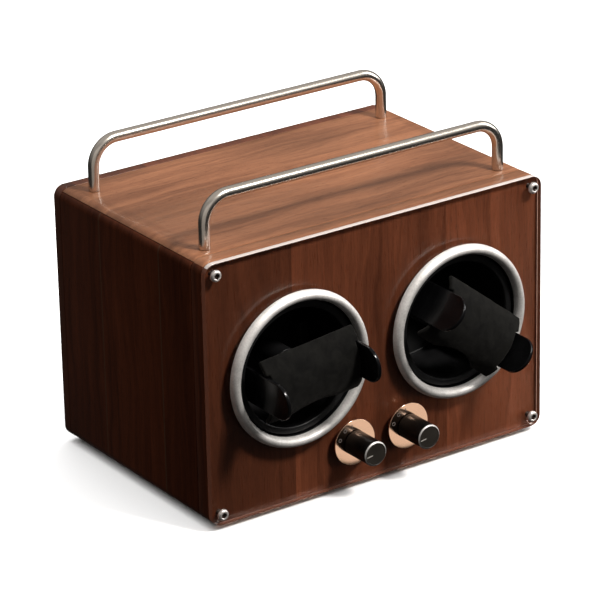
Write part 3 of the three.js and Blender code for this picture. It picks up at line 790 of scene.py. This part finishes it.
def build_screws():
    for i in range(1, 5):
        low, high = reach(f"front_screw_{i}")
        centre = (low + high) / 2
        seat = Matrix.Translation((centre.x, -MITRE_GAP, centre.z))
        shape = screw_mesh(high.y + MITRE_GAP)
        # The socket and the shank are painted near-black brown: painted shade in the socket, and a shank dark
        # enough to read as shadow against the wood seen through the acrylic.
        paint_faces(shape, 1, lambda c, n: in_socket_or_shank(c))
        stand_in(f"front_screw_{i}", shape, [finishes["screw"], finishes["painted_screw_shade"]], seat)

        low, high = reach(f"back_screw_{i}")
        centre, under_head = (low + high) / 2, high.y - SCREW_HEAD_HEIGHT
        half_turn = Matrix.Rotation(math.pi, 4, "Z")
        seat = Matrix.Translation((centre.x, under_head, centre.z)) @ half_turn
        stand_in(f"back_screw_{i}", screw_mesh(under_head - low.y), [finishes["steel"]], seat)


def build_handles():
    for name in HANDLES:
        low, high = reach(name)
        half, foot, top = high.x - ROD_RADIUS, low.z, high.z - ROD_RADIUS
        bend_x, bend_z = half - HANDLE_BEND, top - HANDLE_BEND
        line = [(-half, foot)]
        line += arc((-bend_x, bend_z), HANDLE_BEND, 180, 90, 24)
        line += arc((bend_x, bend_z), HANDLE_BEND, 90, 0, 24)
        line.append((half, foot))
        mesh = sweep([(x, middle(name).y, z) for x, z in line], ROD_RADIUS, steps=10)
        stand_in(name, mesh, [finishes["nickel"]])


def build_feet():
    for i in range(1, 5):
        low, high = reach(f"foot_{i}")
        radius, height = (high.x - low.x) / 2, high.z - low.z
        hollow = [(radius * 0.55, 0.6), (radius * 0.62, 0)]
        profile = hollow + [(radius * 0.9, 0), (radius, height), (0.4, height)]
        centre = (low + high) / 2
        place = Matrix.Translation((centre.x, centre.y, low.z))
        stand_in(f"foot_{i}", along_z(turned(profile, 0.5)), [finishes["rubber"]], place)


def build_jack():
    """A flanged barrel socket in the back panel, with a pin on its axis."""
    inside, outside = y_span("dc_jack")
    axis_gap, bore, barrel, flange = 0.5, 2.9, 5, 7.5
    bore_end, flange_back = 131, outside - 1.6
    profile = [(axis_gap, bore_end), (bore, bore_end), (bore, outside - 0.3), (3.6, outside),
               (flange, outside), (flange, flange_back), (barrel, flange_back), (barrel, inside),
               (axis_gap, inside)]
    pin = turned([(0.9, bore_end - 0.5), (0.9, flange_back), (0.3, outside - 1.3)], 0.2)
    jack = boolean(turned(profile, 0.3), [pin], "UNION")
    centre = middle("dc_jack")
    place = Matrix.Translation((centre.x, 0, centre.z))
    stand_in("dc_jack", jack, [finishes["plastic"]], place)


# --- Pods and drums ---


def bezel_mesh(low, high):
    """A half-round ring on a low straight foot, in front of the acrylic."""
    outer = (high.x - low.x) / 2
    inner = outer - BEZEL_WIDTH
    centre, half = (outer + inner) / 2, (outer - inner) / 2
    rear = -MITRE_GAP
    foot = rear - 0.4
    rise = foot - low.y
    profile = [(inner, rear), (outer, rear), (outer, foot)]
    for k in range(1, 20):
        angle = math.pi * k / 20
        profile.append((centre + half * math.cos(angle), foot - rise * math.sin(angle)))
    profile.append((inner, foot))
    return skin([ring(r, y) for r, y in profile], join_ends=True)


def sleeve_mesh():
    """The fixed tube behind a bezel ring, with a bearing wall and a lug for the motor."""
    deep = y_span("left_pod_sleeve")[1]
    outer, inner, hub, bore = 38.4, 36.7, 4, 4
    wall_front = deep - 3
    profile = [(hub, wall_front), (inner, wall_front), (inner, 0)]
    profile += [(outer, 0), (outer, deep), (hub, deep)]
    tube = turned(profile, 0.3, closed=True)
    lug_half, lug_bottom, lug_top = 17, -53, -30
    lug = rounded_box((-lug_half, wall_front, lug_bottom), (lug_half, deep, lug_top), 0.4)
    hole = bar_y(bore, (wall_front - 5, deep + 5))
    return boolean(boolean(tube, [lug], "UNION"), [hole], "DIFFERENCE")


def drum_mesh(tilt):
    """The cup that turns: a rolled lip, a plain wall, a floor with a square socket, and a shaft behind."""
    front, floor, back, end = 0.8, 44, 50, 72
    lip, wall, outer, shaft = 32, 34, 35.9, 3.5
    socket, socket_depth, floor_start = 7.4, 4, 20
    turn = math.radians(tilt)
    rings = [ring(socket, floor + socket_depth, 4, turn), ring(socket, floor, 4, turn)]
    profile = [(floor_start, floor), (wall, floor), (wall, front + 4), (lip, front + 4), (lip, front),
               (outer, front), (outer, back), (shaft, back), (shaft, end), (shaft - 0.6, end)]
    rings += [ring(r, y) for r, y in softened(profile, 0.9)]
    return skin(rings)


def build_pods():
    for side in SIDES:
        centre = middle(f"{side}_bezel_ring")
        place = Matrix.Translation((centre.x, 0, centre.z))
        bezel = bezel_mesh(*reach(f"{side}_bezel_ring"))
        stand_in(f"{side}_bezel_ring", bezel, [finishes["silver"]], place)
        stand_in(f"{side}_pod_sleeve", sleeve_mesh(), [finishes["lining"]], place)
        drum = drum_mesh(HOLDER_TILTS[side])
        stand_in(f"{side}_drum_cup", drum, [finishes["plastic"]], place)


# --- Watch holders, in s (X), Y and t (Z) before they are tilted ---


def holder_frame_mesh():
    """The back of a holder: a base plate with two arms, the tube that guides the stem, and a square plug."""
    inner, base, floor = 26.4, 39.6, 43.7
    half_base, half_arm, arm_width, arm_depth = 9, 7, 5, 11
    tube_bore, tube_outer, tube_front = 5, 7, 10
    half_plug, plug_depth = 7, 3.9
    body = rounded_box((-inner, base, -half_base), (inner, floor, half_base), 0.5)
    extras = []
    for low_s in (-inner, inner - arm_width):
        arm_low = (low_s, base - arm_depth, -half_arm)
        extras.append(rounded_box(arm_low, (low_s + arm_width, base + 1, half_arm), 0.5))
    tube = [(tube_bore, tube_front), (tube_outer, tube_front)]
    tube += [(tube_outer, base + 1), (tube_bore, base + 1)]
    extras.append(turned(tube, 0.4, closed=True))
    plug_low = (-half_plug, base + 1, -half_plug)
    extras.append(rounded_box(plug_low, (half_plug, floor + plug_depth, half_plug), 0.4))
    return boolean(body, extras, "UNION")


def holder_plate_mesh(low_s):
    """A side plate in the Y-t plane with a round front end, drawn flat and then stood up."""
    front, rear = -22, 43.6
    outline = [(rear, -PLATE_HALF_WIDTH), (rear, PLATE_HALF_WIDTH)]
    outline += arc((front, 0), PLATE_HALF_WIDTH, 90, 270, 40)
    mesh = plate(outline, [], (low_s, low_s + PLATE_THICKNESS), 0.5, 4)
    mesh.transform(Matrix(((0, 1, 0, 0), (1, 0, 0, 0), (0, 0, 1, 0), (0, 0, 0, 1))))
    mesh.flip_normals()
    return mesh


def pad_low_edge(s):
    """The pad's lower long edge, with its shallow round cut."""
    radius = (PAD_CUT_HALF**2 + PAD_CUT_DEPTH**2) / (2 * PAD_CUT_DEPTH)
    if abs(s) >= PAD_CUT_HALF:
        return -PAD_HALF_WIDTH
    return PAD_CUT_DEPTH - PAD_HALF_WIDTH - radius + math.sqrt(radius**2 - s**2)


def pad_surface(s, t, seed):
    """A place on the pad's front: on a cylinder about X, rounded off at the edges and slightly uneven."""
    edge_s = 1 - (abs(s) / PAD_HALF_LENGTH) ** 6
    edge_t = 1 - (abs(t) / PAD_HALF_WIDTH) ** 6
    puff = PAD_PUFF * (1 - edge_s * edge_t)
    crease = PAD_CREASE * noise.fractal(Vector((s * 0.09, t * 0.09, seed)), 0.6, 2.0, 4)
    radius = PAD_RADIUS - PAD_CREASE - puff + min(0.25, crease)
    angle = math.asin(t / PAD_RADIUS)
    return (s, PAD_AXIS_Y - radius * math.cos(angle), radius * math.sin(angle))


def pad_mesh(seed):
    """The flocked pad: a curved sheet of foam, crowned and slightly creased, with notches for the plates."""
    steps_s = round(PAD_NOTCH_S * 2 / PAD_STEP)
    ear_steps, inner_steps = 8, 24
    ear_depth = PAD_HALF_WIDTH - PAD_NOTCH_T
    across = [-PAD_HALF_LENGTH, -(PAD_HALF_LENGTH + PAD_NOTCH_S) / 2]
    across += [PAD_NOTCH_S * (2 * k / steps_s - 1) for k in range(steps_s + 1)]
    across += [-across[1], PAD_HALF_LENGTH]
    ear = [PAD_NOTCH_T + ear_depth * k / ear_steps for k in range(ear_steps + 1)]
    inner = [PAD_NOTCH_T * (2 * k / inner_steps - 1) for k in range(1, inner_steps)]
    up = [-t for t in reversed(ear)] + inner + ear
    bm = bmesh.new()
    grid = []
    for s in across:
        cut = pad_low_edge(s) + PAD_HALF_WIDTH
        column = []
        for t in up:
            share = max(0.0, -t - PAD_NOTCH_T) / ear_depth
            column.append(bm.verts.new(pad_surface(s, t + share * cut, seed)))
        grid.append(column)
    for i in range(len(across) - 1):
        mid_s = abs(across[i] + across[i + 1]) / 2
        for k in range(len(up) - 1):
            mid_t = abs(up[k] + up[k + 1]) / 2
            if mid_s < PAD_NOTCH_S or mid_t > PAD_NOTCH_T:
                bm.faces.new((grid[i][k], grid[i + 1][k], grid[i + 1][k + 1], grid[i][k + 1]))
    loose = [v for v in bm.verts if not v.link_faces]
    bmesh.ops.delete(bm, geom=loose, context="VERTS")
    bmesh.ops.recalc_face_normals(bm, faces=bm.faces)
    for face in bm.faces:
        face.smooth = True
    mesh = bpy.data.meshes.new("pad")
    bm.to_mesh(mesh)
    bm.free()
    if mesh.polygons[0].normal.y > 0:
        mesh.flip_normals()
    return mesh


def build_saddle(side, place, seed):
    shell = modified(pad_mesh(seed), [
        ("SOLIDIFY", {"thickness": PAD_THICKNESS - 0.5, "offset": -1.0}),
        ("SUBSURF", {"levels": 1, "render_levels": 1}),
    ])
    front, rear = PAD_AXIS_Y - PAD_RADIUS + 1.5, 24
    stem = turned([(1, front), (STEM_RADIUS, front), (STEM_RADIUS, rear), (1, rear)], 0.5)
    pad = stand_in(f"{side}_saddle_pad", shell, [finishes["flock"]], place, 60)
    show(f"{side}_saddle_stem", stem, f"{side}_saddle", [finishes["plastic"]], place)


def build_spring(side, place):
    """The spring behind the pad, a fixed coil here. On the real holder it shortens towards the guide as the
    pad is pressed.
    """
    helix = []
    steps_round = 32
    steps = SPRING_TURNS * steps_round
    for k in range(steps + 1):
        angle = 2 * math.pi * k / steps_round
        y = SPRING_FRONT + (SPRING_BACK - SPRING_FRONT) * k / steps
        helix.append((SPRING_RADIUS * math.cos(angle), y, SPRING_RADIUS * math.sin(angle)))
    coil = sweep(helix, SPRING_WIRE, steps=2)
    spring = stand_in(f"{side}_saddle_spring", coil, [finishes["steel"]], place, 60)
    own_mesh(spring)


def build_holders():
    for index, side in enumerate(SIDES):
        centre = middle(f"{side}_bezel_ring")
        tilt = Matrix.Rotation(-math.radians(HOLDER_TILTS[side]), 4, "Y")
        place = Matrix.Translation((centre.x, 0, centre.z)) @ tilt
        body = holder_frame_mesh()
        stand_in(f"{side}_holder_frame", body, [finishes["plastic"]], place)
        for number, low_s in ((1, -PLATE_INNER_S - PLATE_THICKNESS), (2, PLATE_INNER_S)):
            name = f"{side}_holder_plate_{number}"
            stand_in(name, holder_plate_mesh(low_s), [finishes["gloss"]], place)
        build_spring(side, place)
        build_saddle(side, place, 7.3 * (index + 1))


# --- Selectors ---


def build_knob(side):
    """The knob, with a thin silver rim round its sunk face and a pointer on it."""
    front, rear = y_span(f"{side}_knob")
    low, high = reach(f"{side}_knob")
    place = Matrix.Translation(((low.x + high.x) / 2, 0, (low.z + high.z) / 2))
    radius, face, bore, bore_end = (high.z - low.z) / 2, front + 0.12, 3.3, front + 5
    knob = turned([(1, face), (radius - 1.0, face), (radius - 0.9, front), (radius - KNOB_CHAMFER, front),
                   (radius, front + KNOB_CHAMFER), (radius, rear), (bore, rear), (bore, bore_end),
                   (1, bore_end)], 0.12)
    rim = radius - KNOB_RIM
    paint_faces(knob, 1, lambda c, n: c.y < front + KNOB_CHAMFER and math.hypot(c.x, c.z) > rim)
    paint_faces(knob, 2, lambda c, n: c.y < front + 0.5 and math.hypot(c.x, c.z) <= rim)
    stand_in(f"{side}_knob", knob,
             [finishes["knob"], finishes["silver"], finishes["knob_face"]], place)

    line = rounded_box((2.0, front, -0.28), (radius - 1.2, front + 0.5, 0.28), 0.1)
    line.transform(Matrix.Rotation(-math.radians(POINTER_ANGLE), 4, "Y"))
    show(f"{side}_knob_pointer", line, f"{side}_selector", [finishes["pointer"]], place)


def build_dial(side):
    """The copper plate under the knob. It shares the knob's axis."""
    low, high = reach(f"{side}_dial_plate")
    axis = middle(f"{side}_knob")
    place = Matrix.Translation((axis.x, 0, axis.z))
    radius, bore = (high.x - low.x) / 2, 4
    disc = turned([(bore, high.y), (radius, high.y), (radius, low.y), (bore, low.y)], 0.2, closed=True)
    stand_in(f"{side}_dial_plate", disc, [finishes["copper"]], place)
    build_dial_marks(side, low.y, place)


def build_selectors():
    for side in SIDES:
        build_knob(side)
        build_dial(side)


def build_dial_marks(side, face, place):
    """Two small round marks and a tick on the dial plate, for the selector's settings."""
    far, inner, outer, raised = 9.9, 0.65, 1.05, face - 0.06
    marks = []
    for angle in (math.radians(160), math.radians(128)):
        mark = turned([(inner, raised), (outer, raised), (outer, face), (inner, face)], 0.02, closed=True)
        mark.transform(Matrix.Translation((far * math.cos(angle), 0, far * math.sin(angle))))
        marks.append(mark)
    tick = rounded_box((8.6, raised, -0.2), (10.6, face, 0.2), 0.02, 1)
    tick.transform(Matrix.Rotation(-math.radians(100), 4, "Y"))
    joined = boolean(marks[0], [marks[1], tick], "UNION")
    show(f"{side}_dial_marks", joined, "case", [finishes["mark"]], place)


# --- CAD nodes that stay, with their finishes ---

KEPT = {
    **{f"handle_screw_{i}": "steel" for i in range(1, 5)},
    "control_board": "circuit",
    **{f"{side}_{part}": finish for side in SIDES for part, finish in (
        ("drum_pulley", "plastic"),
        ("drive_belt", "rubber"),
        ("motor_pulley", "plastic"),
        ("gearmotor", "steel"),
        ("knob_spindle", "steel"),
        ("rotary_switch", "plastic"),
    )},
}


def finish_kept_nodes():
    for name, finish in KEPT.items():
        mesh = frame["nodes"][name].data
        mesh.materials.clear()
        mesh.materials.append(finishes[finish])


# --- Studio ---


def build_camera():
    """The camera stands in front to the left and looks a little down, rolled by about a degree."""
    azimuth, elevation, roll = (math.radians(a) for a in (-34.43, 22.50, -1.236))
    data = bpy.data.cameras.new("camera")
    data.lens = 217.3
    data.sensor_width = 36
    data.clip_end = 50
    camera = bpy.data.objects.new("camera", data)
    scene.collection.objects.link(camera)
    back = Vector((math.sin(azimuth) * math.cos(elevation),
                   -math.cos(azimuth) * math.cos(elevation), math.sin(elevation)))
    right = Vector((0, 0, 1)).cross(back).normalized()
    up = back.cross(right)
    turned_right = math.cos(roll) * right + math.sin(roll) * up
    turned_up = math.cos(roll) * up - math.sin(roll) * right
    camera.matrix_world = Matrix((turned_right, turned_up, back)).transposed().to_4x4()
    camera.location = (-0.99479, -1.43636, 0.80672)
    scene.camera = camera


def add_lamp(name, kind, power, tint=(1, 1, 1)):
    data = bpy.data.lights.new(name, kind)
    data.energy = power
    data.color = tint
    lamp = bpy.data.objects.new(name, data)
    scene.collection.objects.link(lamp)
    return lamp


def area_light(name, direction, distance, size, power, tint, lit, mirrored):
    """A soft rectangle that faces the object. lit names the only pieces it lights, if any."""
    lamp = add_lamp(name, "AREA", power, tint)
    lamp.data.shape = "RECTANGLE"
    lamp.data.size, lamp.data.size_y = size
    outward = Vector(direction).normalized()
    lamp.location = Vector((0, 0, 0.09)) + outward * distance
    lamp.rotation_mode = "QUATERNION"
    lamp.rotation_quaternion = outward.to_track_quat("Z", "Y")
    lamp.visible_glossy = mirrored
    if lit:
        light_only(lamp, lit)


def light_only(lamp, names):
    """Keeps a lamp's light to the objects with these names."""
    lit = bpy.data.collections.new(f"{lamp.name}_receivers")
    for name in names:
        lit.objects.link(bpy.data.objects[name])
    lamp.light_linking.receiver_collection = lit


def build_floor():
    mesh = bpy.data.meshes.new("floor")
    half = 30
    corners = [(-half, -half, 0), (half, -half, 0), (half, half, 0), (-half, half, 0)]
    mesh.from_pydata(corners, [], [(0, 1, 2, 3)])
    made, tree, shader = material("floor")
    place, _ = millimetres(tree)
    tone = noise_at(tree, place, 0.002, 2.0, 0.5)
    pale = mix_colour(tree, tone, colour(0.88, 0.88, 0.88), colour(0.92, 0.92, 0.92))
    link(tree, shader, Base_Color=pale, Roughness=0.9, Specular_IOR_Level=0.1)
    mesh.materials.append(made)
    floor = bpy.data.objects.new("floor", mesh)
    scene.collection.objects.link(floor)
    floor.visible_diffuse = False
    floor.visible_glossy = False


def build_world():
    """A dim room, darker below, that the camera itself sees as plain white."""
    world = bpy.data.worlds.new("studio")
    world.use_nodes = True
    scene.world = world
    tree = world.node_tree
    background = tree.nodes["Background"]
    height = node(tree, "SeparateXYZ", {0: node(tree, "TexCoord").outputs["Generated"]}).outputs[2]
    sky = remap(tree, height, -0.1, 0.6, 0.025, 0.30)
    tree.links.new(sky, background.inputs["Strength"])
    background.inputs["Color"].default_value = colour(1.0, 0.96, 0.92)
    white = node(tree, "Background", {"Color": colour(1, 1, 1), "Strength": 1.0}).outputs[0]
    seen = node(tree, "LightPath").outputs["Is Camera Ray"]
    mixed = node(tree, "MixShader", {0: seen, 1: background.outputs[0], 2: white}).outputs[0]
    tree.links.new(mixed, tree.nodes["World Output"].inputs["Surface"])


DIALS = [f"{side}_dial_plate_detail" for side in SIDES]
RINGS = [f"{side}_bezel_ring_detail" for side in SIDES]
BARS = [f"{name}_detail" for name in HANDLES]

# Each light's name, direction, distance in metres, size, power, tint, the only pieces it lights, and
# whether it is mirrored in them.
AREA_LIGHTS = [
    ("key", (0.28, -0.61, 0.74), 1.6, (0.26, 0.26), 26, (1.0, 0.97, 0.93), None, True),
    ("overhead", (0.1, 0.3, 1.0), 1.3, (1.6, 0.9), 7.5, (1, 1, 1), None, False),
    ("right_card", (1.0, -0.35, 0.5), 1.5, (0.5, 1.0), 9, (1, 1, 1), None, True),
    ("low_card", (0.56, -0.76, -0.05), 0.8, (1.4, 0.9), 3.2, (1.0, 0.90, 0.80), DIALS, True),
    ("front_card", (0.75, -0.5, -0.3), 0.25, (0.12, 0.12), 0.36, (1.0, 0.88, 0.74),
     ["front_board_detail"], False),
    ("ring_card", (0.1, -0.12, 1.0), 1.1, (0.9, 0.9), 20, (1.0, 0.98, 0.95), RINGS, True),
    ("bar_card", (0.3, 0.1, 0.9), 1.1, (2.6, 2.6), 3.2, (1.0, 0.95, 0.89), BARS, True),
    ("left_card", (-0.8, -0.8, 0.15), 1.3, (1.6, 1.6), 2.4, (1.0, 0.93, 0.86), BARS, True),
]


def build_studio():
    build_world()
    build_floor()
    for settings in AREA_LIGHTS:
        area_light(*settings)
    floor_sun = add_lamp("floor_sun", "SUN", 3.6)
    floor_sun.data.angle = math.radians(100)
    light_only(floor_sun, ["floor"])
    scene.view_settings.view_transform = "Standard"


build_camera()
build_boards()
build_panels()
build_screws()
build_handles()
build_feet()
build_jack()
build_pods()
build_holders()
build_selectors()
finish_kept_nodes()
build_studio()
